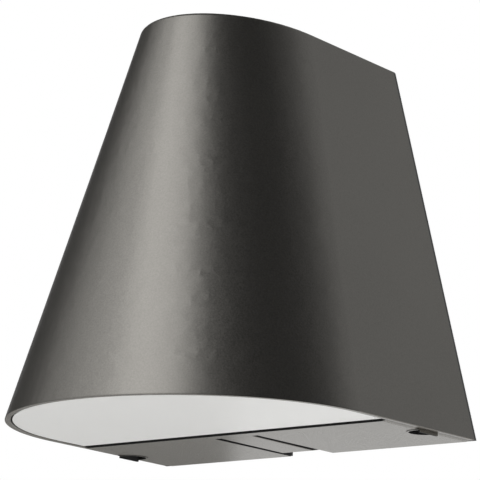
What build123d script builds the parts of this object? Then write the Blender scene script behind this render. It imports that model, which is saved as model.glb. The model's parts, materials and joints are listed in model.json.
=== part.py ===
"""Outdoor wall downlight: a cone-fronted cast housing that slides onto a steel wall bracket.

Millimetres. X runs along the wall, -Y points away from it and +Z is up. The pieces are drawn with the
housing's bottom rim at z = 0 and are written with the origin on the wall, in the middle of the wall screws.
"""
import os
from math import atan, cos, degrees, radians, sin, sqrt, tan

from build123d import *

# Housing outline, at the bottom rim and at the top
height = 180.0
bottom_width = 176.0
bottom_depth = 170.5
bottom_flare = 1.8
bottom_stretch = 1.0
top_width = 87.0
top_depth = 119.0
top_flare = 2.7
top_stretch = 1.44
wall = 2.5
top_thickness = 3.0
top_edge_radius = 2.0
mount_height = 90.0
drop_below_rim = 5.0
reach_past_wall = 5.0

# Seal against the wall
seal_thickness = 1.5

# Seam between diffuser and rear plate
seam_y = -67.2
seam_gap = 2.0

# Diffuser and its gasket
diffuser_gap = 0.7
diffuser_setback = 0.3
diffuser_edge_radius = 0.3
diffuser_sheet = 2.5
skirt_thickness = 2.2
skirt_top = 9.0
gasket_width = 3.0
gasket_height = 3.0

# Light chamber, LED board and heat plate
flange_thickness = 2.0
ledge_thickness = 3.0
ledge_width = 11.0
chamber_wall = 1.6
chamber_clearance = 0.5
chamber_height = 36.0
chamber_top_inset = 16.0
board_width = 64.0
board_front_gap = 1.7
board_thickness = 1.6
board_margin = 5.0
chip_size = 3.0
chip_height = 0.8
chip_columns = 6
chip_rows = 4
chip_margin_x = 12.0
chip_margin_y = 6.0
heat_plate_thickness = 3.0
heat_plate_margin = 4.0

# Driver and its leads
driver_width = 68.0
driver_depth = 36.0
driver_height = 22.0
driver_edge_radius = 2.0
driver_tab = 9.0
driver_tab_thickness = 2.5
lead_radius = 0.8
lead_hole_radius = 1.4
lead_bend = 2.2
led_lead_pitch = 8.0
lead_exit_height = 12.0

# Cross web between the light side and the wall side of the housing
web_thickness = 3.0
web_bottom = 4.0
web_above_plug = 12.0

# Contact plug on the head and terminal block on the bracket
plug_width = 36.0
plug_height = 20.0
plug_rear_y = -37.0
plug_nose = 4.0
plug_flange_reach = 10.0
plug_flange_thickness = 3.0
plug_clearance = 0.3
pin_radius = 2.0
pin_clearance = 0.3
pin_insertion = 13.0
pin_hold = 13.0
pin_hole_spare = 2.0
pin_pitch = 10.0
block_width = 46.0
block_height = 24.0
block_front_gap = 1.0
block_edge_radius = 1.5
wire_hole_radius = 2.0
wire_hole_depth = 9.0
terminal_screw_radius = 2.2
terminal_screw_height = 1.2
terminal_slot_width = 0.8
block_screw_inset = 3.6
block_foot = 3.0

# Rear plate with its slots, screw recesses and spring tongue
plate_gap = 0.4
plate_proud = 0.4
plate_slope_width = 1.6
plate_thickness = 3.0
tongue_root_y = -60.0
tongue_width = 17.0
tongue_thickness = 2.0
tongue_proud = 0.2
tongue_root_gap = 0.2
tongue_ramp = 11.4
tongue_lift = 2.3
slot_width = 3.4
slot_rib = 1.5
slot_rib_height = 6.0
recess_y = -33.8
recess_radius = 6.9
recess_straight = 1.0
recess_side_wall = 0.9
recess_depth = 6.7
collar_wall = 0.9
collar_drop = 0.25
guard_drop = 1.1
boss_height = 6.0

# Fixing screws and their thread inserts
fixing_screw_radius = 2.0
fixing_screw_length = 8.0
fixing_screw_chamfer = 0.4
fixing_clearance = 0.05
insert_radius = 2.7
insert_cover = 0.5
socket_size = 2.0
socket_depth = 2.2

# Wall bracket
sheet = 2.0
bracket_gap = 1.5
bracket_top_gap = 15.0
arm_gap = 0.7
arm_rise = 0.3
arm_reach = 46.0
arm_width = 9.0
arm_upturn = 10.0
tab_width = 40.0
tab_reach = 30.0
wall_slot_spacing_x = 60.0
wall_slot_spacing_z = 60.0
wall_slot_radius = 2.75
wall_slot_length = 12.0
bracket_window_width = 36.0
bracket_window_height = 16.0
bracket_corner_radius = 3.0

# Guides in the housing that slide on the bracket
rail_gap = 0.1
rail_thickness = 3.0
rail_back_y = -8.0
rail_side_gap = 0.3
shoe_leg = 3.4
shoe_lip = 6.0
shoe_lip_thickness = 3.3
shoe_back_y = -6.0
shoe_gap = 0.3

# Cable grommet and earth screw
grommet_height = 38.0
grommet_hole_radius = 11.0
grommet_bore_radius = 4.5
grommet_lip = 2.5
grommet_lip_thickness = 2.0
earth_screw_x = -42.0
earth_screw_height = 38.0

# Small screws
small_screw_radius = 1.4
small_screw_clearance = 0.1
small_head_radius = 2.6
small_head_height = 1.8
small_socket_radius = 1.2
small_socket_depth = 1.0
plate_screw_x = 40.0
plate_lug_width = 10.0
plate_lug_reach = 9.0
plate_lug_thickness = 3.0
plate_boss_radius = 3.5
plate_boss_height = 8.0
chamber_screw_angles = (-22.0, -65.0, -115.0, -158.0)
chamber_screw_edge = 4.0

# Levels and places that follow from the sizes above
diffuser_rear_y = seam_y - seam_gap / 2
plate_front_y = seam_y + seam_gap / 2
web_front_y = plate_front_y
web_rear_y = web_front_y + web_thickness
flange_low = skirt_top + gasket_height
ledge_low = flange_low + flange_thickness
ledge_top = ledge_low + ledge_thickness
ledge_opening_inset = wall + ledge_width
ledge_opening_rear_y = diffuser_rear_y - ledge_width
chamber_top = flange_low + chamber_height
chamber_rear_y = ledge_opening_rear_y - chamber_clearance
board_top = chamber_top - chamber_wall
board_rear_y = chamber_rear_y - chamber_wall - board_margin
heat_plate_top = chamber_top + heat_plate_thickness
plate_low = -plate_proud
plate_top = plate_low + plate_thickness
recess_top = plate_low + recess_depth
boss_top = recess_top + boss_height
arm_low = boss_top + arm_rise
arm_top = arm_low + sheet
web_top = mount_height + plug_height / 2 + web_above_plug
block_front_y = plug_rear_y + block_front_gap
pin_hole_depth = pin_insertion - block_front_gap + pin_hole_spare
wire_hole_y = block_front_y + pin_hole_depth + 2 * wire_hole_radius
housing_inner_top = height - top_thickness
bracket_top = housing_inner_top - bracket_top_gap


def half_width(y, level, inset):
    """Half the housing's width at a place y and a height, moved in by inset."""
    share = level / height
    width = bottom_width + (top_width - bottom_width) * share
    flare = radians(bottom_flare + (top_flare - bottom_flare) * share)
    return width / 2 + y * tan(flare) - inset


def front_arc(level, inset):
    """Radius across, radius outward and centre of the rounded front, with the lean of the sides."""
    share = level / height
    width = bottom_width + (top_width - bottom_width) * share - 2 * inset
    depth = bottom_depth + (top_depth - bottom_depth) * share - inset
    flare = radians(bottom_flare + (top_flare - bottom_flare) * share)
    stretch = bottom_stretch + (top_stretch - bottom_stretch) * share
    lean = atan(tan(flare) * stretch)
    across = (width / 2 * cos(lean) - depth / stretch * sin(lean)) / (1 - sin(lean))
    outward = across * stretch
    return across, outward, outward - depth, lean


def outline(level, inset):
    """The housing's plan at a height: sides from past the wall, joined by a tangent elliptical front."""
    across, outward, centre_y, lean = front_arc(level, inset)
    turn = degrees(lean)
    front = Edge.make_ellipse(across, outward, Plane((0, centre_y, level)), 180 + turn, 360 - turn)
    half = half_width(reach_past_wall, level, inset)
    right_end = Vector(half, reach_past_wall, level)
    left_end = Vector(-half, reach_past_wall, level)
    right = Edge.make_line(front @ 1, right_end)
    back = Edge.make_line(right_end, left_end)
    left = Edge.make_line(left_end, front @ 0)
    return Face(Wire([front, right, back, left]))


def cone(inset):
    """The housing's form from a little below the rim up to the top, moved in by inset."""
    return loft([outline(-drop_below_rim, inset), outline(height, inset)], ruled=True)


def board_front_y():
    """Front edge of the LED board, whose corners stay clear of the light chamber's inner wall."""
    across, outward, centre_y, _ = front_arc(board_top, chamber_top_inset + chamber_wall)
    return centre_y - outward * sqrt(1 - (board_width / 2 / across) ** 2) + board_front_gap


# Places of the board and the driver, which follow from the chamber
board_depth = board_rear_y - board_front_y()
board_centre_y = board_rear_y - board_depth / 2
driver_centre_y = board_centre_y
driver_front_y = driver_centre_y - driver_depth / 2
driver_rear_y = driver_centre_y + driver_depth / 2


def block(x_range, y_range, z_range):
    """A box between two corners."""
    sizes = [high - low for low, high in (x_range, y_range, z_range)]
    centre = [(low + high) / 2 for low, high in (x_range, y_range, z_range)]
    return Pos(*centre) * Box(*sizes)


def slab(low, high):
    """Everything between two heights."""
    return block((-bottom_width, bottom_width), (-2 * bottom_depth, bottom_depth), (low, high))


def in_front_of(y, low, high):
    """Everything on the room side of y, between two heights."""
    return block((-bottom_width, bottom_width), (-2 * bottom_depth, y), (low, high))


def rod(centre, radius, length, axis="Z"):
    """A round bar that starts at a point and runs along an axis."""
    direction = {"X": (1, 0, 0), "Y": (0, 1, 0), "Z": (0, 0, 1)}[axis]
    return Solid.make_cylinder(radius, length, Plane(origin=centre, z_dir=direction))


def small_screw(seat, shank_length, upward):
    """A pan-head screw whose head bears on the seat; the shank runs upward or downward from it."""
    x, y, z = seat
    low_head = z - small_head_height if upward else z
    head = rod((x, y, low_head), small_head_radius, small_head_height)
    low_shank = z if upward else z - shank_length
    shank = rod((x, y, low_shank), small_screw_radius, shank_length)
    low_socket = low_head if upward else z + small_head_height - small_socket_depth
    socket = rod((x, y, low_socket), small_socket_radius, small_socket_depth)
    return (head + shank) - socket


def wall_screw(seat, shank_length):
    """A pan-head screw along Y whose head bears on a seat that faces the room."""
    x, y, z = seat
    head = rod((x, y - small_head_height, z), small_head_radius, small_head_height, "Y")
    shank = rod((x, y, z), small_screw_radius, shank_length, "Y")
    socket = rod((x, y - small_head_height, z), small_socket_radius, small_socket_depth, "Y")
    return (head + shank) - socket


def both_sides(piece):
    """A piece and its mirror image on the other side of the lamp."""
    return [piece, mirror(piece, about=Plane.YZ)]


def lead(points):
    """A wire along straight runs with rounded corners."""
    path = FilletPolyline(*points, radius=lead_bend)
    section = Plane(origin=path @ 0, z_dir=path % 0) * Circle(lead_radius)
    return sweep(section, path=path)


# Housing
def chamber_screw_places():
    """Places of the screws that hold the light chamber up against the housing's ledge."""
    across, outward, centre_y, _ = front_arc(ledge_low, ledge_opening_inset - chamber_screw_edge)
    places = []
    for angle in chamber_screw_angles:
        places.append((across * cos(radians(angle)), centre_y + outward * sin(radians(angle))))
    return places


def fixing_x():
    """Distance of the fixing screws from the middle: as far out as the insert's boss allows."""
    return half_width(recess_y, boss_top, wall + plate_gap) - insert_cover - insert_radius


def arm_outer_x():
    """Outer edge of the bracket's arms, clear of the housing's inner wall."""
    return half_width(-arm_reach, arm_top, wall + arm_gap)


def outer_form(back_y):
    """The housing's outside, with its top edge rounded from wall to wall round the front."""
    form = cone(0) & in_front_of(back_y, 0, height)
    top_edges = form.faces().sort_by(Axis.Z)[-1].edges()
    return fillet(top_edges.filter_by(lambda edge: edge.center().Y < back_y - wall), top_edge_radius)


def inner_form():
    """The housing's hollow, open to the wall and at the bottom."""
    return cone(wall) & slab(-drop_below_rim, housing_inner_top)


def make_housing():
    outer = outer_form(-seal_thickness)
    cavity = inner_form()

    ledge = in_front_of(web_front_y, ledge_low, ledge_top)
    ledge -= cone(ledge_opening_inset) & in_front_of(ledge_opening_rear_y, ledge_low, ledge_top)
    for x, y in chamber_screw_places():
        ledge -= rod((x, y, ledge_low), small_screw_radius + small_screw_clearance, ledge_thickness)
    cavity -= ledge

    web = block((-bottom_width, bottom_width), (web_front_y, web_rear_y), (web_bottom, web_top))
    window_x = plug_width / 2 + plug_clearance
    window_z = plug_height / 2 + plug_clearance
    web -= block((-window_x, window_x), (web_front_y, web_rear_y),
                 (mount_height - window_z, mount_height + window_z))
    for x in plug_screw_places():
        web -= rod((x, web_front_y, mount_height), small_screw_radius + small_screw_clearance,
                   web_thickness, "Y")
    cavity -= web

    lug_low = plate_top + plate_boss_height
    lug = block((plate_screw_x - plate_lug_width / 2, plate_screw_x + plate_lug_width / 2),
                (web_rear_y, web_rear_y + plate_lug_reach), (lug_low, lug_low + plate_lug_thickness))
    lug -= rod((plate_screw_x, web_rear_y + plate_lug_reach / 2, lug_low),
               small_screw_radius + small_screw_clearance, plate_lug_thickness)
    rail_low = arm_top + rail_gap
    rail = block((arm_outer_x() - arm_width + sheet + rail_side_gap, bottom_width),
                 (-arm_reach, rail_back_y), (rail_low, rail_low + rail_thickness))
    shoe_x = tab_width / 2 + shoe_gap
    shoe_lip_top = bracket_top - sheet - shoe_gap
    shoe = block((shoe_x, shoe_x + shoe_leg), (-tab_reach - shoe_leg, shoe_back_y),
                 (shoe_lip_top - shoe_lip_thickness, height))
    shoe += block((shoe_x - shoe_lip, shoe_x), (-tab_reach - shoe_leg, shoe_back_y),
                  (shoe_lip_top - shoe_lip_thickness, shoe_lip_top))
    for piece in (lug, rail, shoe):
        for side in both_sides(piece):
            cavity -= side
    return outer - cavity


def make_wall_seal():
    ring = outer_form(0) - inner_form()
    return ring & block((-bottom_width, bottom_width), (-seal_thickness, 0), (0, height))


# Light side
def front_tray(inset, rear_y, low, high):
    """The part of the housing's form in front of a line, between two heights."""
    return cone(inset) & in_front_of(rear_y, low, high)


def make_diffuser():
    inset = wall + diffuser_gap
    tray = front_tray(inset, diffuser_rear_y, diffuser_setback, skirt_top)
    lower_face = tray.faces().sort_by(Axis.Z)[0]
    tray = fillet(lower_face.edges(), diffuser_edge_radius)
    hollow = front_tray(inset + skirt_thickness, diffuser_rear_y - skirt_thickness,
                        diffuser_setback + diffuser_sheet, skirt_top)
    return tray - hollow


def make_diffuser_gasket():
    inset = wall + diffuser_gap
    ring = front_tray(inset, diffuser_rear_y, skirt_top, flange_low)
    return ring - front_tray(inset + gasket_width, diffuser_rear_y - gasket_width, skirt_top, flange_low)


def funnel(extra, low, high):
    """The light chamber's tapering D form, from the flange up, moved in by extra."""
    levels = ((low, ledge_opening_inset + chamber_clearance), (high, chamber_top_inset))
    sections = []
    for level, inset in levels:
        face = outline(level, inset + extra)
        room_side = Pos(0, chamber_rear_y - extra - bottom_depth, level)
        sections.append(face & room_side * Rectangle(2 * bottom_width, 2 * bottom_depth))
    return loft(sections, ruled=True)


def make_light_chamber():
    flange = front_tray(wall + diffuser_gap, diffuser_rear_y, flange_low, ledge_low)
    for x, y in chamber_screw_places():
        flange -= rod((x, y, flange_low), small_screw_radius + small_screw_clearance, flange_thickness)
    body = flange + funnel(0, flange_low, chamber_top)
    body -= funnel(chamber_wall, flange_low, board_top)
    for x, y in board_screw_places() + led_lead_places():
        body -= rod((x, y, board_top), lead_hole_radius + small_screw_clearance, chamber_wall)
    return body


def make_chamber_screws():
    return [small_screw((x, y, flange_low), flange_thickness + ledge_thickness, True)
            for x, y in chamber_screw_places()]


def board_screw_places():
    places = []
    for x in (-1, 1):
        for y in (-1, 1):
            places.append((x * (board_width / 2 - board_margin),
                           board_centre_y + y * (board_depth / 2 - board_margin)))
    return places


def led_lead_places():
    y = driver_front_y - lead_bend - lead_radius
    return [(-led_lead_pitch / 2, y), (led_lead_pitch / 2, y)]


def make_led_board():
    board = block((-board_width / 2, board_width / 2),
                  (board_centre_y - board_depth / 2, board_centre_y + board_depth / 2),
                  (board_top - board_thickness, board_top))
    for x, y in board_screw_places():
        board -= rod((x, y, board_top - board_thickness), small_screw_radius + small_screw_clearance,
                     board_thickness)
    return board


def make_led_chips():
    low = board_top - board_thickness - chip_height
    pitch_x = (board_width - 2 * chip_margin_x) / (chip_columns - 1)
    pitch_y = (board_depth - 2 * chip_margin_y) / (chip_rows - 1)
    chips = []
    for place in GridLocations(pitch_x, pitch_y, chip_columns, chip_rows):
        centre = Pos(place.position.X, board_centre_y + place.position.Y, low + chip_height / 2)
        chips.append(centre * Box(chip_size, chip_size, chip_height))
    return chips


def make_heat_plate():
    half_x = board_width / 2 + heat_plate_margin
    half_y = board_depth / 2 + heat_plate_margin
    plate = block((-half_x, half_x), (board_centre_y - half_y, board_centre_y + half_y),
                  (chamber_top, heat_plate_top))
    plate = fillet(plate.edges().filter_by(Axis.Z), heat_plate_margin)
    for x, y in board_screw_places() + led_lead_places():
        plate -= rod((x, y, chamber_top), lead_hole_radius + small_screw_clearance, heat_plate_thickness)
    for x, y in driver_screw_places():
        plate -= rod((x, y, chamber_top), small_screw_radius + small_screw_clearance, heat_plate_thickness)
    return plate


def make_board_screws():
    seat = board_top - board_thickness
    length = heat_plate_top - seat
    return [small_screw((x, y, seat), length, True) for x, y in board_screw_places()]


def driver_screw_places():
    y = driver_centre_y
    x = driver_width / 2 - driver_tab / 2
    return [(-x, y), (x, y)]


def make_driver():
    half_x = driver_width / 2 - driver_tab
    case = block((-half_x, half_x), (driver_front_y, driver_rear_y),
                 (heat_plate_top, heat_plate_top + driver_height))
    upper_edges = case.faces().sort_by(Axis.Z)[-1].edges()
    case = fillet(case.edges().filter_by(Axis.Z) + upper_edges, driver_edge_radius)
    tabs = block((-driver_width / 2, driver_width / 2),
                 (driver_centre_y - driver_tab / 2, driver_centre_y + driver_tab / 2),
                 (heat_plate_top, heat_plate_top + driver_tab_thickness))
    case += tabs
    for x, y in driver_screw_places():
        case -= rod((x, y, heat_plate_top), small_screw_radius + small_screw_clearance, driver_tab_thickness)
    return case


def make_driver_screws():
    seat = heat_plate_top + driver_tab_thickness
    return [small_screw((x, y, seat), driver_tab_thickness + heat_plate_thickness, False)
            for x, y in driver_screw_places()]


def make_led_leads():
    start_z = heat_plate_top + lead_exit_height
    leads = []
    for x, y in led_lead_places():
        leads.append(lead([(x, driver_front_y, start_z), (x, y, start_z), (x, y, board_top)]))
    return leads


# Plug and terminal block
def pin_places():
    return [index * pin_pitch for index in (-1, 0, 1)]


def make_contact_plug():
    low = mount_height - plug_height / 2
    high = mount_height + plug_height / 2
    body = block((-plug_width / 2, plug_width / 2), (web_front_y - plug_nose, plug_rear_y), (low, high))
    flange_x = plug_width / 2 + plug_flange_reach
    body += block((-flange_x, flange_x), (web_rear_y, web_rear_y + plug_flange_thickness), (low, high))
    for x in pin_places():
        body -= rod((x, plug_rear_y - pin_hold, mount_height), pin_radius, pin_hold, "Y")
    for x in plug_screw_places():
        body -= rod((x, web_rear_y, mount_height), small_screw_radius + small_screw_clearance,
                    plug_flange_thickness, "Y")
    return body


def plug_screw_places():
    x = plug_width / 2 + plug_flange_reach / 2
    return [-x, x]


def make_contact_pins():
    length = pin_hold + pin_insertion
    pins = []
    for x in pin_places():
        pin = rod((x, plug_rear_y - pin_hold, mount_height), pin_radius, length, "Y")
        tip = pin.faces().sort_by(Axis.Y)[-1].edges()
        pins.append(chamfer(tip, pin_radius / 2))
    return pins


def make_plug_screws():
    seat = web_rear_y + plug_flange_thickness
    length = web_thickness + plug_flange_thickness
    screws = []
    for x in plug_screw_places():
        screws.append(mirror(wall_screw((x, -seat, mount_height), length), about=Plane.XZ))
    return screws


def make_plug_leads():
    start_y = web_front_y - plug_nose
    middle_y = start_y - lead_bend - lead_radius
    end_z = heat_plate_top + lead_exit_height
    leads = []
    for x in pin_places():
        points = [(x, start_y, mount_height), (x, middle_y, mount_height), (x, middle_y, end_z),
                  (x, driver_rear_y, end_z)]
        leads.append(lead(points))
    return leads


def make_terminal_block():
    low = mount_height - block_height / 2
    high = mount_height + block_height / 2
    body = block((-block_width / 2, block_width / 2), (block_front_y, -sheet), (low, high))
    body = fillet(body.edges().filter_by(Axis.Y), block_edge_radius)
    for x in pin_places():
        body -= rod((x, block_front_y, mount_height), pin_radius + pin_clearance, pin_hole_depth, "Y")
        body -= rod((x, wire_hole_y, low), wire_hole_radius, wire_hole_depth)
    for x in block_screw_places():
        body -= rod((x, block_front_y, mount_height), small_head_radius + small_screw_clearance,
                    -sheet - block_front_y - block_foot, "Y")
        body -= rod((x, block_front_y, mount_height), small_screw_radius + small_screw_clearance,
                    -block_front_y, "Y")
    return body


def block_screw_places():
    x = block_width / 2 - block_screw_inset
    return [-x, x]


def make_block_screws():
    seat = -sheet - block_foot
    return [wall_screw((x, seat, mount_height), -seat) for x in block_screw_places()]


def make_terminal_screws():
    high = mount_height + block_height / 2
    screws = []
    for x in pin_places():
        head = rod((x, wire_hole_y, high), terminal_screw_radius, terminal_screw_height)
        driver_slot = block((x - terminal_screw_radius, x + terminal_screw_radius),
                            (wire_hole_y - terminal_slot_width / 2, wire_hole_y + terminal_slot_width / 2),
                            (high + terminal_screw_height / 2, high + terminal_screw_height))
        screws.append(head - driver_slot)
    return screws


# Wall bracket
def make_wall_bracket():
    low_half = half_width(0, arm_low, wall + bracket_gap)
    high_half = half_width(0, bracket_top, wall + bracket_gap)
    corners = [(-low_half, arm_low), (low_half, arm_low),
               (high_half, bracket_top), (-high_half, bracket_top)]
    face = make_face(Polyline(*corners, close=True))
    face = fillet(face.vertices().filter_by(lambda corner: corner.Y > mount_height), bracket_corner_radius)
    plate = extrude(Plane.XZ * face, amount=sheet)

    outer_x = arm_outer_x()
    arm = block((outer_x - arm_width, outer_x), (-arm_reach, 0), (arm_low, arm_top))
    arm += block((outer_x - arm_width, outer_x - arm_width + sheet), (-arm_reach, 0),
                 (arm_low, arm_low + arm_upturn))
    for side in both_sides(arm):
        plate += side
    plate += block((-tab_width / 2, tab_width / 2), (-tab_reach, 0), (bracket_top - sheet, bracket_top))

    straight = wall_slot_length - 2 * wall_slot_radius
    for place in GridLocations(wall_slot_spacing_x, wall_slot_spacing_z, 2, 2):
        x = place.position.X
        z = mount_height + place.position.Y
        for end in (-1, 1):
            plate -= rod((x + end * straight / 2, -sheet, z), wall_slot_radius, sheet, "Y")
        plate -= block((x - straight / 2, x + straight / 2), (-sheet, 0),
                       (z - wall_slot_radius, z + wall_slot_radius))
    plate -= rod((0, -sheet, grommet_height), grommet_hole_radius, sheet, "Y")
    screw_places = [(x, mount_height) for x in block_screw_places()]
    screw_places.append((earth_screw_x, earth_screw_height))
    for x, z in screw_places:
        plate -= rod((x, -sheet, z), small_screw_radius + small_screw_clearance, sheet, "Y")
    window_z = bracket_top - sheet - bracket_window_height
    window = block((-bracket_window_width / 2, bracket_window_width / 2), (-sheet, 0),
                   (window_z - bracket_window_height / 2, window_z + bracket_window_height / 2))
    plate -= fillet(window.edges().filter_by(Axis.Y), bracket_corner_radius)
    return plate


def make_cable_grommet():
    inner = rod((0, -sheet, grommet_height), grommet_hole_radius, sheet, "Y")
    lip = rod((0, -sheet - grommet_lip_thickness, grommet_height), grommet_hole_radius + grommet_lip,
              grommet_lip_thickness, "Y")
    lip = chamfer(lip.faces().sort_by(Axis.Y)[0].edges(), grommet_lip_thickness / 2)
    bore_length = sheet + grommet_lip_thickness
    bore = rod((0, -bore_length, grommet_height), grommet_bore_radius, bore_length, "Y")
    return (inner + lip) - bore


def make_earth_screw():
    return wall_screw((earth_screw_x, -sheet, earth_screw_height), sheet)


# Rear plate
def recess_edge_x():
    """The straight side of the right screw recess."""
    return half_width(recess_y, 0, wall + plate_gap + recess_side_wall)


def recess_form(grow, low, high):
    """A U-shaped bar: half round towards the middle of the lamp, straight along the housing's wall."""
    reach = recess_radius + grow
    middle_x = recess_edge_x() - recess_straight
    outer_x = recess_edge_x() + recess_side_wall
    round_part = rod((middle_x, recess_y, low), reach, high - low)
    round_part &= block((0, middle_x), (-bottom_depth, 0), (low, high))
    return round_part + block((middle_x, outer_x), (recess_y - reach, recess_y + reach), (low, high))


def plate_slope():
    """A wedge along the right side of the rear plate: the plate slopes up to meet the housing's rim."""
    ends = []
    for y in (plate_front_y - plate_slope_width, 0):
        edge_x = half_width(y, 0, wall + plate_gap)
        outer_x = edge_x + plate_slope_width
        inner_x = edge_x - 2 * plate_slope_width
        low = plate_low - plate_proud
        ends.append(make_face(Polyline((inner_x, y, low), (outer_x, y, plate_proud), (outer_x, y, low), close=True)))
    return loft(ends, ruled=True)


def make_rear_plate():
    form = cone(wall + plate_gap)
    side_form = cone(wall + plate_gap + recess_side_wall)
    region = block((-bottom_width, bottom_width), (plate_front_y, -seal_thickness),
                   (plate_low, plate_top))
    plate = form & region
    for side in both_sides(plate_slope()):
        plate -= side
    slot_x = tongue_width / 2 + slot_width
    rib = block((slot_x, slot_x + slot_rib), (tongue_root_y - slot_rib, -seal_thickness),
                (plate_low, plate_top + slot_rib_height))
    boss_y = web_rear_y + plate_lug_reach / 2
    screw_boss = rod((plate_screw_x, boss_y, plate_top), plate_boss_radius, plate_boss_height)
    screw_boss -= rod((plate_screw_x, boss_y, plate_top), small_screw_radius + small_screw_clearance,
                      plate_boss_height)
    collar_low = plate_low - collar_drop
    well = recess_form(collar_wall, collar_low, boss_top) & form
    guard = form & block((recess_edge_x(), bottom_width), (recess_y - recess_radius, recess_y + recess_radius),
                         (plate_low - guard_drop, 0))
    for piece in (rib, screw_boss, well, guard):
        for side in both_sides(piece):
            plate += side
    hollow = recess_form(0, plate_low - guard_drop, recess_top) & side_form
    insert_hole = rod((fixing_x(), recess_y, recess_top), insert_radius, boss_height)
    for piece in (hollow, insert_hole):
        for side in both_sides(piece):
            plate -= side
    plate -= block((-slot_x, slot_x), (tongue_root_y, 0), (plate_low, plate_top))
    return plate


def make_plate_seal():
    slot_x = tongue_width / 2 + slot_width
    form = cone(wall + plate_gap)
    strip = form & block((slot_x, bottom_width), (-seal_thickness, 0), (0, plate_top))
    return both_sides(strip)


def make_plate_screws():
    seat = plate_top + plate_boss_height + plate_lug_thickness
    y = web_rear_y + plate_lug_reach / 2
    length = plate_boss_height + plate_lug_thickness
    return both_sides(small_screw((plate_screw_x, y, seat), length, False))


def make_spring_tongue():
    low = plate_low - tongue_proud
    root_y = tongue_root_y + tongue_root_gap
    bend_y = -seal_thickness - tongue_ramp
    end_y = -seal_thickness
    profile = Polyline((root_y, low), (bend_y, low), (end_y, low + tongue_lift),
                       (end_y, low + tongue_lift + tongue_thickness), (bend_y, low + tongue_thickness),
                       (root_y, low + tongue_thickness), close=True)
    strip = extrude(Plane.YZ * make_face(profile), amount=tongue_width)
    return Pos(-tongue_width / 2, 0, 0) * strip


def make_thread_inserts():
    bush = rod((fixing_x(), recess_y, recess_top), insert_radius, boss_height)
    bush -= rod((fixing_x(), recess_y, recess_top), fixing_screw_radius + fixing_clearance, boss_height)
    return both_sides(bush)


def make_fixing_screw():
    low = arm_low - fixing_clearance - fixing_screw_length
    screw = rod((fixing_x(), recess_y, low), fixing_screw_radius, fixing_screw_length)
    screw = chamfer(screw.edges().filter_by(GeomType.CIRCLE), fixing_screw_chamfer)
    key = RegularPolygon(socket_size / 2, 6, major_radius=False)
    return screw - extrude(Pos(fixing_x(), recess_y, low) * key, amount=socket_depth)


def make_all():
    right_screw = make_fixing_screw()
    return {
        "wall_bracket": make_wall_bracket(),
        "terminal_block": make_terminal_block(),
        "terminal_screws": make_terminal_screws(),
        "block_screws": make_block_screws(),
        "earth_screw": make_earth_screw(),
        "cable_grommet": make_cable_grommet(),
        "housing": make_housing(),
        "wall_seal": make_wall_seal(),
        "diffuser": make_diffuser(),
        "diffuser_gasket": make_diffuser_gasket(),
        "light_chamber": make_light_chamber(),
        "chamber_screws": make_chamber_screws(),
        "led_board": make_led_board(),
        "led_chips": make_led_chips(),
        "heat_plate": make_heat_plate(),
        "board_screws": make_board_screws(),
        "driver": make_driver(),
        "driver_screws": make_driver_screws(),
        "led_leads": make_led_leads(),
        "contact_plug": make_contact_plug(),
        "contact_pins": make_contact_pins(),
        "plug_screws": make_plug_screws(),
        "plug_leads": make_plug_leads(),
        "rear_plate": make_rear_plate(),
        "plate_seal": make_plate_seal(),
        "plate_screws": make_plate_screws(),
        "thread_inserts": make_thread_inserts(),
        "spring_tongue": make_spring_tongue(),
        "fixing_screw_right": right_screw,
        "fixing_screw_left": mirror(right_screw, about=Plane.YZ),
    }


os.makedirs("parts", exist_ok=True)
for name, piece in make_all().items():
    solids = piece if isinstance(piece, list) else [piece]
    group = Compound(children=[Part() + solid for solid in solids]) if len(solids) > 1 else solids[0]
    export_step(Pos(0, 0, -mount_height) * group, f"parts/{name}.step")
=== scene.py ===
"""Finishes, softened edges and a small studio for an outdoor wall downlight."""
import json
from math import copysign, cos, pi, radians, sin, tan

import bmesh
import bpy
from bpy.props import FloatProperty, FloatVectorProperty, PointerProperty
from mathutils import Matrix, Vector


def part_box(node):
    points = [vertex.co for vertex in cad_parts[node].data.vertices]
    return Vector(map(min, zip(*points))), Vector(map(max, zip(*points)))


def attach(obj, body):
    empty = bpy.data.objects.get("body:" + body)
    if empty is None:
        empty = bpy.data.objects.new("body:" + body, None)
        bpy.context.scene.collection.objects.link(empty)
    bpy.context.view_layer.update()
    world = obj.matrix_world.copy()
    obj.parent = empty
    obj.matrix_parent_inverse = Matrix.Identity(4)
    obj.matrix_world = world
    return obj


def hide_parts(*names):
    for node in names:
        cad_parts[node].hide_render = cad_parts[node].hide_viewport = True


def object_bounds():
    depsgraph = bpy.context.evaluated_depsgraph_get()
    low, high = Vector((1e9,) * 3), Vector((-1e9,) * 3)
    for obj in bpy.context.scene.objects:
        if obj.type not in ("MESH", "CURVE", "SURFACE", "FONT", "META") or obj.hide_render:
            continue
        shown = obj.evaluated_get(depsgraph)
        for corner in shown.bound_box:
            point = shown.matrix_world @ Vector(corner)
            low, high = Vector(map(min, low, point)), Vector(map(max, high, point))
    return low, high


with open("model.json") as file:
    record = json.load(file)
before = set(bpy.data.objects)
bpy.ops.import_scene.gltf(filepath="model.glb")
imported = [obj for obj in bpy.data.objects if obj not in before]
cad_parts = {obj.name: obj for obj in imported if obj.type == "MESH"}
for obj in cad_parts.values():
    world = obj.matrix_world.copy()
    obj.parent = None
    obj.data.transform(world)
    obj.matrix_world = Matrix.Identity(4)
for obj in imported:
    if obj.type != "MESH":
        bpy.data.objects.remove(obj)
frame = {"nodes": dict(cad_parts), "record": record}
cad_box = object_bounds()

bl_info = {
    "name": "Wall Downlight",
    "version": (1, 0, 0),
    "blender": (4, 5, 0),
    "location": "3D View > Sidebar > Wall Light",
    "description": "Dresses a packed wall downlight with finishes and a studio",
    "category": "Object",
}

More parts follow.
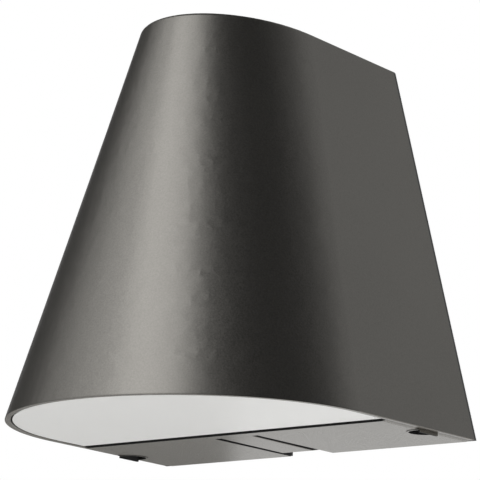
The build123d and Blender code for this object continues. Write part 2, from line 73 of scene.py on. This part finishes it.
millimetre = 0.001
weld_distance = 0.002 * millimetre
flat_angle = radians(0.2)
sharp_angle = radians(28)
bevel_segments = 2
rim_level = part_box("housing")[0].z

# Rear plate corners further from the middle than this belong to its side edges
side_start = 82 * millimetre

# Parts of a unit normal that make a face count as level, as an underside or as a side
level_normal = 0.999
underside_normal = 0.2
side_normal = 0.5

# Heights on the housing, as shares of the whole, of extra rows of edges that keep its shading even
row_shares = (0.006, 0.1, 0.3, 0.5, 0.7, 0.9)

# Usual lowest and highest value of a noise texture
noise_range = (0.3, 0.7)

# Shares of slow swell in relief and of fine grain in tone, and the swell's scale against the grain's
swell_share = 0.12
grain_share = 0.85
swell_ratio = 0.15

# Darkest and lightest patch of plated metal, and the scale of its marks along their length
patch_range = (0.88, 1.1)
mark_stretch = 0.05

# Reflectance of a card that takes light away
card_black = 0.02


# Settings that a user would change
def colour(title, text, red, green, blue):
    """A colour setting with its default."""
    return FloatVectorProperty(name=title, description=text, subtype="COLOR", size=3, min=0, max=1,
                               default=(red, green, blue))


def length(title, text, value):
    """A length setting with its default, in metres."""
    return FloatProperty(name=title, description=text, default=value, min=0, unit="LENGTH", precision=5)


def strength(title, text, value):
    """A light's brightness setting with its default."""
    return FloatProperty(name=title, description=text, default=value, min=0)


def angle(title, text, value):
    """An angle setting with its default, given in degrees."""
    return FloatProperty(name=title, description=text, default=radians(value), unit="ROTATION")


class LampFinishes(bpy.types.PropertyGroup):
    """Colours of the lamp's finishes"""
    graphite: colour("Graphite coat", "Powder coat of the housing", 0.084, 0.081, 0.075)
    # Also the lighter painted highlight on the housing's lower rim
    moulded: colour("Graphite plastic and rim highlight", "Moulded plastic of the rear plate and its tongue",
                    0.125, 0.117, 0.100)
    # Near-black painted shade on the inner faces, slot walls and recesses of the rear plate and the tongue
    painted_shade: colour("Painted shade plastic", "Uncoated inner faces of the rear plate and its tongue", 0.012, 0.012, 0.012)
    opal: colour("Opal", "Light-spreading sheet under the lamp", 0.87, 0.865, 0.84)
    rubber: colour("Rubber", "Seals and the cable grommet", 0.022, 0.022, 0.022)
    silicone: colour("Silicone", "Gasket above the opal sheet", 0.46, 0.46, 0.45)
    zinc: colour("Zinc", "Plated sheet steel of the wall bracket", 0.46, 0.47, 0.475)
    white: colour("White plastic", "Light chamber", 0.78, 0.78, 0.76)
    pale_grey: colour("Pale grey plastic", "Terminal block and contact plug", 0.48, 0.47, 0.44)
    board: colour("Board lacquer", "White lacquer of the LED board", 0.74, 0.75, 0.74)
    phosphor: colour("Phosphor", "Yellow face of the LED chips", 0.80, 0.58, 0.11)
    aluminium: colour("Aluminium", "Heat plate", 0.72, 0.72, 0.71)
    driver_case: colour("Driver case", "Moulded case of the LED driver", 0.70, 0.69, 0.65)
    brass: colour("Brass", "Contact pins and thread inserts", 0.69, 0.50, 0.20)
    steel: colour("Screw steel", "Plated screws", 0.50, 0.50, 0.48)


class LampEdges(bpy.types.PropertyGroup):
    """Radii of softened edges, small gaps that the finish closes and the size of the coat's grain"""
    rim: length("Rim edge", "Rounding of the housing's lower rim", 0.35 * millimetre)
    tongue: length("Tongue edge", "Rounding of the spring tongue's edges", 0.25 * millimetre)
    lip: length("Recess lip", "Height of the coated lip round a screw recess", 0.5 * millimetre)
    root_gap: length("Root gap", "Gap at the tongue's root that the finish closes", 0.2 * millimetre)
    side_gap: length("Side gap", "Gap beside the rear plate that the finish closes", 0.38 * millimetre)
    sheet: length("Sheet edge", "Rounding of the bracket's sheet steel", 0.3 * millimetre)
    moulding: length("Moulding edge", "Rounding of small moulded pieces", 0.3 * millimetre)
    grain: length("Coat grain", "Size of the powder coat's grain", 0.7 * millimetre)


class LampStudio(bpy.types.PropertyGroup):
    """Camera and lights"""
    azimuth: angle("Azimuth", "Camera's angle round the lamp from straight in front", 37.35)
    elevation: angle("Elevation", "Camera's angle above the horizon", -14.10)
    roll: angle("Roll", "Camera's turn about its own line of sight", 1.51)
    distance: length("Distance", "Camera's distance from its target", 0.9756)
    target_depth: length("Target depth", "Distance of the target in front of the wall", 0.054)
    target_side: length("Target side", "Shift of the target across the view, to the left", 0.00421)
    target_up: length("Target up", "Shift of the target up the view", 0.00128)
    lens: FloatProperty(name="Lens", description="Focal length in millimetres", default=159.98,
                        unit="CAMERA")
    key: strength("Key light", "Brightness of the front softbox", 5.8)
    side: strength("Side light", "Brightness of the softbox beside the key", 2.1)
    far: strength("Far light", "Brightness of the softbox far left", 1.0)
    right: strength("Right light", "Brightness of the softbox far right", 0.68)
    reach: length("Reach", "Distance of lights and cards from the lamp", 1.5)
    near: length("Near reach", "Distance of the low cards behind the lamp", 0.41)
    floor_drop: length("Floor drop", "Distance from the lamp's middle down to the floor", 1.6)
    floor_size: length("Floor size", "Half the width of the floor", 6)


def settings():
    """The colours of the finishes."""
    return bpy.context.scene.wall_light_finishes


def edges():
    """The radii, gaps and grain."""
    return bpy.context.scene.wall_light_edges


def studio():
    """The camera and the lights."""
    return bpy.context.scene.wall_light_studio


# Meshes
def merged_copy(node):
    """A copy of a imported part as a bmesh, its loose triangles joined and its flat faces whole."""
    shape = bmesh.new()
    shape.from_mesh(frame["nodes"][node].data)
    bmesh.ops.remove_doubles(shape, verts=shape.verts, dist=weld_distance)
    bmesh.ops.dissolve_limit(shape, angle_limit=flat_angle, verts=shape.verts, edges=shape.edges)
    shape.normal_update()
    return shape


def is_sharp(edge):
    """Whether two faces meet at a clear fold."""
    return edge.is_manifold and edge.calc_face_angle() > sharp_angle


def soften(shape, width, chosen=is_sharp):
    """Rounds the chosen edges of a bmesh."""
    sharp = [edge for edge in shape.edges if chosen(edge)]
    bmesh.ops.bevel(shape, geom=sharp, offset=width, offset_type="OFFSET", affect="EDGES",
                    segments=bevel_segments, profile=0.5, material=-1, clamp_overlap=True)


def softened_copy(node, width):
    """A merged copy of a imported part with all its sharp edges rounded."""
    shape = merged_copy(node)
    soften(shape, width)
    return shape


def at_level(level):
    """A test for sharp edges that lie flat at one height."""
    def chosen(edge):
        return is_sharp(edge) and all(abs(corner.co.z - level) < weld_distance for corner in edge.verts)
    return chosen


def underside_level(shape):
    """The height of a bmesh's largest face that looks straight down."""
    level_faces = [face for face in shape.faces if face.normal.z < -level_normal]
    return max(level_faces, key=lambda face: face.calc_area()).calc_center_median().z


def coat_underside(shape, low, high):
    """Gives the first material to faces between two heights that look down and the second to all others."""
    shape.normal_update()
    for face in shape.faces:
        coated = face.normal.z < -underside_normal and low < face.calc_center_median().z < high
        face.material_index = 0 if coated else 1


def cut_across(shape, point, normal):
    """Adds a row of edges where a plane crosses a bmesh."""
    everything = shape.verts[:] + shape.edges[:] + shape.faces[:]
    bmesh.ops.bisect_plane(shape, geom=everything, dist=weld_distance, plane_co=point, plane_no=normal)


def body_of(node):
    """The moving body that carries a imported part."""
    for body, nodes in frame["record"]["behaviour"]["bodies"].items():
        if node in nodes:
            return body
    raise ValueError(f"no body holds {node}")


def make_object(shape, name, *materials):
    """A smooth-shaded object from a bmesh, with sharp folds kept."""
    mesh = bpy.data.meshes.new(name)
    shape.to_mesh(mesh)
    shape.free()
    mesh.shade_smooth()
    mesh.set_sharp_from_angle(angle=sharp_angle)
    for material in materials:
        mesh.materials.append(material)
    piece = bpy.data.objects.new(name, mesh)
    bpy.context.scene.collection.objects.link(piece)
    return piece


def dress(shape, node, *materials):
    """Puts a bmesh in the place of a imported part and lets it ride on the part's body."""
    piece = make_object(shape, f"{node}_finish", *materials)
    even = piece.modifiers.new("Even normals", "WEIGHTED_NORMAL")
    even.keep_sharp = True
    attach(piece, body_of(node))
    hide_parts(node)
    return piece


def paint(node, material):
    """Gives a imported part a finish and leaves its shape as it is."""
    target = frame["nodes"][node]
    target.data.materials.clear()
    target.data.materials.append(material)


# Shared effects
def new_group(name, inputs, outputs):
    """A shader node group with number inputs, number outputs and object coordinates."""
    group = bpy.data.node_groups.new(name, "ShaderNodeTree")
    for title, default in inputs:
        socket = group.interface.new_socket(title, in_out="INPUT", socket_type="NodeSocketFloat")
        socket.default_value = default
    for title in outputs:
        group.interface.new_socket(title, in_out="OUTPUT", socket_type="NodeSocketFloat")
    entry = group.nodes.new("NodeGroupInput")
    leave = group.nodes.new("NodeGroupOutput")
    place = group.nodes.new("ShaderNodeTexCoord")
    return group, entry, leave, place


def noise(tree, place, scale, detail, roughness=0.5):
    """A noise texture on object coordinates; scale is a number or a socket."""
    node = tree.nodes.new("ShaderNodeTexNoise")
    node.inputs["Detail"].default_value = detail
    node.inputs["Roughness"].default_value = roughness
    tree.links.new(place, node.inputs["Vector"])
    if isinstance(scale, bpy.types.NodeSocket):
        tree.links.new(scale, node.inputs["Scale"])
    else:
        node.inputs["Scale"].default_value = scale
    return node.outputs["Fac"]


def blend_values(tree, first, second, share):
    """A mix of two value sockets."""
    node = tree.nodes.new("ShaderNodeMix")
    node.inputs["Factor"].default_value = share
    tree.links.new(first, node.inputs["A"])
    tree.links.new(second, node.inputs["B"])
    return node.outputs["Result"]


def grain_group():
    """Fine grain over a slow swell, as on powder coat and moulded plastic, with large soft patches."""
    found = bpy.data.node_groups.get("Surface grain")
    if found:
        return found
    inputs = (("Grain Scale", 2000.0), ("Swell Scale", 300.0), ("Patch Scale", 18.0))
    group, entry, leave, place = new_group("Surface grain", inputs, ("Height", "Grain", "Patch"))
    here = place.outputs["Object"]
    fine = noise(group, here, entry.outputs["Grain Scale"], 2.0)
    swell = noise(group, here, entry.outputs["Swell Scale"], 1.0)
    patch = noise(group, here, entry.outputs["Patch Scale"], 3.0)
    height = blend_values(group, fine, swell, swell_share)
    group.links.new(height, leave.inputs["Height"])
    group.links.new(fine, leave.inputs["Grain"])
    group.links.new(patch, leave.inputs["Patch"])
    return group


def brushed_group():
    """Long thin marks along X, as on drawn sheet and turned metal, with faint patches."""
    found = bpy.data.node_groups.get("Drawn metal")
    if found:
        return found
    inputs = (("Mark Scale", 900.0), ("Patch Scale", 60.0))
    group, entry, leave, place = new_group("Drawn metal", inputs, ("Marks", "Patch"))
    stretch = group.nodes.new("ShaderNodeMapping")
    stretch.inputs["Scale"].default_value = (mark_stretch, 1, 1)
    group.links.new(place.outputs["Object"], stretch.inputs["Vector"])
    marks = noise(group, stretch.outputs["Vector"], entry.outputs["Mark Scale"], 4.0)
    patch = noise(group, place.outputs["Object"], entry.outputs["Patch Scale"], 2.0)
    group.links.new(marks, leave.inputs["Marks"])
    group.links.new(patch, leave.inputs["Patch"])
    return group


# Materials
def new_material(name):
    """An empty node material with its Principled shader."""
    material = bpy.data.materials.new(name)
    material.use_nodes = True
    return material, material.node_tree, material.node_tree.nodes["Principled BSDF"]


def shades(tree, factor, dark, light):
    """A colour socket that runs from dark to light with a value."""
    ramp = tree.nodes.new("ShaderNodeMix")
    ramp.data_type = "RGBA"
    ramp.inputs["A"].default_value = (*dark, 1)
    ramp.inputs["B"].default_value = (*light, 1)
    tree.links.new(factor, ramp.inputs["Factor"])
    return ramp.outputs["Result"]


def span(tree, value, low, high):
    """A value socket stretched from a texture's usual range to low and high."""
    node = tree.nodes.new("ShaderNodeMapRange")
    node.inputs["From Min"].default_value = noise_range[0]
    node.inputs["From Max"].default_value = noise_range[1]
    node.inputs["To Min"].default_value = low
    node.inputs["To Max"].default_value = high
    tree.links.new(value, node.inputs["Value"])
    return node.outputs["Result"]


def bump(tree, height, depth, shader):
    """Small relief of a given depth in metres."""
    node = tree.nodes.new("ShaderNodeBump")
    node.inputs["Distance"].default_value = depth
    tree.links.new(height, node.inputs["Height"])
    tree.links.new(node.outputs["Normal"], shader.inputs["Normal"])


def scaled(tone, factor):
    """A colour made darker or lighter."""
    return tuple(min(1.0, part * factor) for part in tone)


def grained(name, tone, variation, roughness, grain_size, depth):
    """A grained coat or moulding: tone, gloss and relief follow the grain, tone also large patches."""
    found = bpy.data.materials.get(name)
    if found:
        return found
    material, tree, shader = new_material(name)
    grain = tree.nodes.new("ShaderNodeGroup")
    grain.node_tree = grain_group()
    grain.inputs["Grain Scale"].default_value = 1 / grain_size
    grain.inputs["Swell Scale"].default_value = swell_ratio / grain_size
    tint = blend_values(tree, grain.outputs["Patch"], grain.outputs["Grain"], grain_share)
    tone_socket = shades(tree, tint, scaled(tone, 1 - variation), scaled(tone, 1 + variation))
    tree.links.new(tone_socket, shader.inputs["Base Color"])
    low, high = roughness
    tree.links.new(span(tree, grain.outputs["Grain"], low, high), shader.inputs["Roughness"])
    bump(tree, grain.outputs["Height"], depth, shader)
    return material


def plated(name, tone, roughness, depth, mark_scale):
    """Drawn or turned metal with fine marks."""
    found = bpy.data.materials.get(name)
    if found:
        return found
    material, tree, shader = new_material(name)
    shader.inputs["Metallic"].default_value = 1.0
    marks = tree.nodes.new("ShaderNodeGroup")
    marks.node_tree = brushed_group()
    marks.inputs["Mark Scale"].default_value = mark_scale
    dark, light = (scaled(tone, factor) for factor in patch_range)
    tone_socket = shades(tree, marks.outputs["Patch"], dark, light)
    tree.links.new(tone_socket, shader.inputs["Base Color"])
    low, high = roughness
    tree.links.new(span(tree, marks.outputs["Marks"], low, high), shader.inputs["Roughness"])
    bump(tree, marks.outputs["Marks"], depth, shader)
    return material


def graphite_coat():
    """The housing's metallic coat, which darkens where it is seen at a low angle."""
    material = grained("Graphite powder coat", settings().graphite, variation=0.4, roughness=(0.36, 0.42),
                       grain_size=edges().grain, depth=0.01 * millimetre)
    shader = material.node_tree.nodes["Principled BSDF"]
    shader.inputs["Metallic"].default_value = 0.88
    shader.inputs["Specular Tint"].default_value = (0.5, 0.5, 0.5, 1)
    return material


def plate_plastic_and_rim_highlight():
    """The smooth face of the rear plate and the tongue, also a painted highlight on the housing's lower
    rim.
    """
    material = grained("Graphite plastic and rim highlight", settings().moulded, variation=0.10, roughness=(0.26, 0.34),
                       grain_size=0.6 * millimetre, depth=0.006 * millimetre)
    shader = material.node_tree.nodes["Principled BSDF"]
    shader.inputs["Specular IOR Level"].default_value = 0.95
    shader.inputs["Specular Tint"].default_value = (1, 0.94, 0.87, 1)
    return material


def painted_shade_plastic():
    """Near-black painted shade on the inner faces of the rear plate and the tongue."""
    material = grained("Painted shade plastic", settings().painted_shade, variation=0.15, roughness=(0.62, 0.75),
                       grain_size=0.8 * millimetre, depth=0.01 * millimetre)
    shader = material.node_tree.nodes["Principled BSDF"]
    shader.inputs["Specular IOR Level"].default_value = 0.2
    return material


def opal_sheet():
    """The diffuser's milky plastic."""
    material = grained("Opal sheet", settings().opal, variation=0.02, roughness=(0.34, 0.42),
                       grain_size=1.2 * millimetre, depth=0.004 * millimetre)
    shader = material.node_tree.nodes["Principled BSDF"]
    shader.inputs["Subsurface Weight"].default_value = 0.25
    shader.inputs["Subsurface Radius"].default_value = (0.004, 0.004, 0.004)
    shader.inputs["Subsurface Scale"].default_value = 0.5
    return material


def seal_rubber():
    """The dull rubber of seals and grommet."""
    return grained("Seal rubber", settings().rubber, variation=0.2, roughness=(0.62, 0.78),
                   grain_size=0.5 * millimetre, depth=0.02 * millimetre)


# Pieces
class WALL_LIGHT_OT_housing(bpy.types.Operator):
    """Adds the cast housing with its powder coat"""
    bl_idname = "wall_light.housing"
    bl_label = "Housing"

    def execute(self, context):
        shape = merged_copy("housing")
        soften(shape, edges().rim, at_level(rim_level))
        low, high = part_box("housing")
        for share in row_shares:
            cut_across(shape, (0, 0, low.z + share * (high.z - low.z)), (0, 0, 1))
        # The rim's underside and its rounding get the lighter plate finish, a painted highlight for the lit
        # rim line; the rest keeps the powder coat
        coat_underside(shape, rim_level - edges().rim, rim_level + edges().rim)
        dress(shape, "housing", plate_plastic_and_rim_highlight(), graphite_coat())
        return {"FINISHED"}


class WALL_LIGHT_OT_diffuser(bpy.types.Operator):
    """Adds the opal sheet and its gasket"""
    bl_idname = "wall_light.diffuser"
    bl_label = "Diffuser"

    def execute(self, context):
        dress(merged_copy("diffuser"), "diffuser", opal_sheet())
        gasket = grained("Silicone", settings().silicone, variation=0.08, roughness=(0.5, 0.62),
                         grain_size=0.8 * millimetre, depth=0.01 * millimetre)
        paint("diffuser_gasket", gasket)
        return {"FINISHED"}


class WALL_LIGHT_OT_rear_plate(bpy.types.Operator):
    """Adds the rear plate and the spring tongue"""
    bl_idname = "wall_light.rear_plate"
    bl_label = "Rear plate and tongue"

    def execute(self, context):
        plate = merged_copy("rear_plate")
        level = underside_level(plate)
        self.meet_rim(plate)
        # Down-facing faces near the underside keep the graphite plastic; inner faces, slot walls, recess
        # insides and guard bottoms get near-black painted shade
        coat_underside(plate, level - edges().lip, level + edges().lip)
        self.coat_sides(plate)
        dress(plate, "rear_plate", plate_plastic_and_rim_highlight(), painted_shade_plastic())
        tongue = merged_copy("spring_tongue")
        self.close_root(tongue, level)
        soften(tongue, edges().tongue)
        # The tongue's underside keeps the graphite plastic; its sides, end and top get near-black painted
        # shade
        coat_underside(tongue, level - edges().lip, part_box("spring_tongue")[1].z)
        dress(tongue, "spring_tongue", plate_plastic_and_rim_highlight(), painted_shade_plastic())
        return {"FINISHED"}

    def meet_rim(self, plate):
        """Draws the plate's two side edges out to the inside of the housing's rim."""
        for corner in plate.verts:
            if abs(corner.co.z - rim_level) < weld_distance and abs(corner.co.x) > side_start:
                corner.co.x += copysign(edges().side_gap, corner.co.x)

    def coat_sides(self, plate):
        """Gives the plate's outward sides, which show on the recess guards, the first material."""
        for face in plate.faces:
            side = face.calc_center_median().x
            if abs(side) > side_start and copysign(1, side) * face.normal.x > side_normal:
                face.material_index = 0

    def close_root(self, tongue, level):
        """Draws the tongue's root out to the plate, level with the plate's underside."""
        root_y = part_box("spring_tongue")[0].y
        middle_z = sum(corner.co.z for corner in tongue.verts) / len(tongue.verts)
        for corner in tongue.verts:
            if corner.co.y < root_y + weld_distance:
                corner.co.y -= edges().root_gap
                if corner.co.z < middle_z:
                    corner.co.z = level


class WALL_LIGHT_OT_seals(bpy.types.Operator):
    """Finishes the seals and the cable grommet"""
    bl_idname = "wall_light.seals"
    bl_label = "Seals"

    def execute(self, context):
        for node in ("wall_seal", "plate_seal"):
            paint(node, seal_rubber())
        dress(softened_copy("cable_grommet", edges().moulding), "cable_grommet", seal_rubber())
        return {"FINISHED"}


class WALL_LIGHT_OT_bracket(bpy.types.Operator):
    """Finishes the wall bracket"""
    bl_idname = "wall_light.bracket"
    bl_label = "Wall bracket"

    def execute(self, context):
        zinc = plated("Zinc plate", settings().zinc, roughness=(0.32, 0.5), depth=0.01 * millimetre,
                      mark_scale=700)
        dress(softened_copy("wall_bracket", edges().sheet), "wall_bracket", zinc)
        return {"FINISHED"}


class WALL_LIGHT_OT_inner_parts(bpy.types.Operator):
    """Finishes the light chamber, the electrical pieces and the screws"""
    bl_idname = "wall_light.inner_parts"
    bl_label = "Inner parts"

    def execute(self, context):
        tones = settings()
        relief = 0.01 * millimetre
        moulded = {
            "light_chamber": ("White plastic", tones.white),
            "terminal_block": ("Pale grey plastic", tones.pale_grey),
            "contact_plug": ("Pale grey plastic", tones.pale_grey),
            "led_board": ("Board lacquer", tones.board),
            "led_chips": ("Phosphor", tones.phosphor),
            "driver": ("Driver case", tones.driver_case),
            "led_leads": ("Wire insulation", tones.rubber),
            "plug_leads": ("Wire insulation", tones.rubber),
        }
        for node, (name, tone) in moulded.items():
            finish = grained(name, tone, variation=0.06, roughness=(0.4, 0.55),
                             grain_size=0.8 * millimetre, depth=relief)
            if node in ("terminal_block", "contact_plug", "driver"):
                dress(softened_copy(node, edges().moulding), node, finish)
            else:
                paint(node, finish)
        metal = {
            "heat_plate": ("Aluminium", tones.aluminium),
            "contact_pins": ("Brass", tones.brass),
            "thread_inserts": ("Brass", tones.brass),
        }
        screws = ("terminal_screws", "block_screws", "earth_screw", "chamber_screws", "board_screws",
                  "driver_screws", "plug_screws", "plate_screws", "fixing_screw_right", "fixing_screw_left")
        for node in screws:
            metal[node] = ("Screw steel", tones.steel)
        for node, (name, tone) in metal.items():
            finish = plated(name, tone, roughness=(0.28, 0.42), depth=relief, mark_scale=1500)
            paint(node, finish)
        return {"FINISHED"}


# Stage
def direction(azimuth, elevation):
    """A unit vector at an azimuth from straight in front and a height above the horizon."""
    flat = cos(elevation)
    return Vector((sin(azimuth) * flat, -cos(azimuth) * flat, sin(elevation)))


def facing(place, target):
    """A turn that points an object's -Z at a target."""
    return (target - place).to_track_quat("-Z", "Y").to_matrix().to_4x4()


def round_lamp(azimuth, elevation, reach):
    """A frame on a sphere round the lamp that looks at the lamp's middle, angles in degrees."""
    middle = (cad_box[0] + cad_box[1]) / 2
    place = middle + direction(radians(azimuth), radians(elevation)) * reach
    return Matrix.Translation(place) @ facing(place, middle)


def across(spread, reach):
    """The width of a panel that spans an angle in degrees, seen from the lamp."""
    return 2 * reach * tan(radians(spread) / 2)


def add_softbox(name, azimuth, elevation, wide, high, brightness):
    """A soft light that spans two angles seen from the lamp."""
    lamp = bpy.data.lights.new(name, "AREA")
    lamp.shape = "RECTANGLE"
    lamp.size = across(wide, studio().reach)
    lamp.size_y = across(high, studio().reach)
    lamp.energy = pi * brightness * lamp.size * lamp.size_y
    holder = bpy.data.objects.new(name, lamp)
    holder.matrix_world = round_lamp(azimuth, elevation, studio().reach)
    bpy.context.scene.collection.objects.link(holder)


def add_card(name, azimuth, elevation, wide, high, grey, reach):
    """A matt grey card that spans two angles seen from the lamp, hidden from the camera."""
    shape = bmesh.new()
    bmesh.ops.create_grid(shape, x_segments=1, y_segments=1, size=0.5)
    bmesh.ops.scale(shape, vec=(across(wide, reach), across(high, reach), 1), verts=shape.verts)
    bmesh.ops.transform(shape, matrix=round_lamp(azimuth, elevation, reach), verts=shape.verts)
    tone = grained(f"Card grey {grey}", (grey, grey, grey), variation=0.05, roughness=(0.9, 0.95),
                   grain_size=0.05, depth=0.0)
    card = make_object(shape, name, tone)
    card.visible_camera = False


class WALL_LIGHT_OT_stage(bpy.types.Operator):
    """Adds the floor, the lights, the grey cards and the camera"""
    bl_idname = "wall_light.stage"
    bl_label = "Stage"

    def execute(self, context):
        self.add_world()
        self.add_floor()
        self.add_lights()
        self.add_camera()
        context.scene.view_settings.view_transform = "Standard"
        return {"FINISHED"}

    def add_world(self):
        world = bpy.data.worlds.new("Studio")
        bpy.context.scene.world = world
        world.use_nodes = True
        sky = world.node_tree.nodes["Background"]
        sky.inputs["Color"].default_value = (1, 1, 1, 1)
        sky.inputs["Strength"].default_value = 1.0

    def add_floor(self):
        shape = bmesh.new()
        bmesh.ops.create_grid(shape, x_segments=1, y_segments=1, size=studio().floor_size)
        bmesh.ops.translate(shape, vec=(0, 0, -studio().floor_drop), verts=shape.verts)
        pale = grained("Pale floor", (0.82, 0.82, 0.82), variation=0.01, roughness=(0.6, 0.7),
                       grain_size=0.05, depth=0.0)
        make_object(shape, "floor", pale)

    def add_lights(self):
        light = studio()
        add_softbox("key_softbox", azimuth=5, elevation=37, wide=37, high=38, brightness=light.key)
        add_softbox("side_softbox", azimuth=-30, elevation=37, wide=31, high=40, brightness=light.side)
        add_softbox("far_softbox", azimuth=-60, elevation=37, wide=31, high=40, brightness=light.far)
        add_softbox("right_softbox", azimuth=153, elevation=28, wide=28, high=60, brightness=light.right)
        add_card("front_right_card", azimuth=56, elevation=25, wide=56, high=90, grey=card_black,
                 reach=light.reach)
        for azimuth, wide, grey in ((93, 18, 0.03), (110, 16, 0.06), (125, 14, 0.3)):
            add_card(f"right_card_{azimuth}", azimuth, elevation=25, wide=wide, high=90, grey=grey,
                     reach=light.reach)
        add_card("top_card", azimuth=0, elevation=90, wide=60, high=60, grey=card_black, reach=light.reach)
        add_card("left_card", azimuth=-98, elevation=33, wide=45, high=55, grey=0.1, reach=light.reach)
        add_card("low_left_card", azimuth=-114, elevation=-18, wide=14, high=27, grey=card_black,
                 reach=light.near)
        add_card("low_back_card", azimuth=-132.5, elevation=-18, wide=23, high=27, grey=0.22,
                 reach=light.near)

    def add_camera(self):
        view = studio()
        back = direction(view.azimuth, view.elevation)
        right = (-back).cross(Vector((0, 0, 1))).normalized()
        up = back.cross(right)
        turned_right = cos(view.roll) * right + sin(view.roll) * up
        turned_up = cos(view.roll) * up - sin(view.roll) * right
        target = Vector((0, -view.target_depth, 0)) - right * view.target_side + up * view.target_up
        turn = Matrix((turned_right, turned_up, back)).transposed().to_4x4()
        lens = bpy.data.cameras.new("camera")
        lens.lens = view.lens
        lens.sensor_width = 36
        lens.clip_end = 100
        camera = bpy.data.objects.new("camera", lens)
        camera.matrix_world = Matrix.Translation(target + back * view.distance) @ turn
        bpy.context.scene.collection.objects.link(camera)
        bpy.context.scene.camera = camera


class WALL_LIGHT_PT_panel(bpy.types.Panel):
    """Lists the lamp's pieces and settings in the 3D view's sidebar"""
    bl_idname = "WALL_LIGHT_PT_panel"
    bl_label = "Wall Light"
    bl_space_type = "VIEW_3D"
    bl_region_type = "UI"
    bl_category = "Wall Light"

    def draw(self, context):
        column = self.layout.column()
        for piece in pieces:
            column.operator(piece.bl_idname)
        for group in (settings(), edges(), studio()):
            for name in group.__annotations__:
                column.prop(group, name)


groups = (LampFinishes, LampEdges, LampStudio)
pieces = (WALL_LIGHT_OT_housing, WALL_LIGHT_OT_diffuser, WALL_LIGHT_OT_rear_plate, WALL_LIGHT_OT_seals,
          WALL_LIGHT_OT_bracket, WALL_LIGHT_OT_inner_parts, WALL_LIGHT_OT_stage)


def register():
    for kind in groups + pieces + (WALL_LIGHT_PT_panel,):
        bpy.utils.register_class(kind)
    bpy.types.Scene.wall_light_finishes = PointerProperty(type=LampFinishes)
    bpy.types.Scene.wall_light_edges = PointerProperty(type=LampEdges)
    bpy.types.Scene.wall_light_studio = PointerProperty(type=LampStudio)


def unregister():
    del bpy.types.Scene.wall_light_studio
    del bpy.types.Scene.wall_light_edges
    del bpy.types.Scene.wall_light_finishes
    for kind in reversed(groups + pieces + (WALL_LIGHT_PT_panel,)):
        bpy.utils.unregister_class(kind)


def main():
    register()
    bpy.ops.wall_light.housing()
    bpy.ops.wall_light.diffuser()
    bpy.ops.wall_light.rear_plate()
    bpy.ops.wall_light.seals()
    bpy.ops.wall_light.bracket()
    bpy.ops.wall_light.inner_parts()
    bpy.ops.wall_light.stage()


if __name__ == "__main__":
    main()
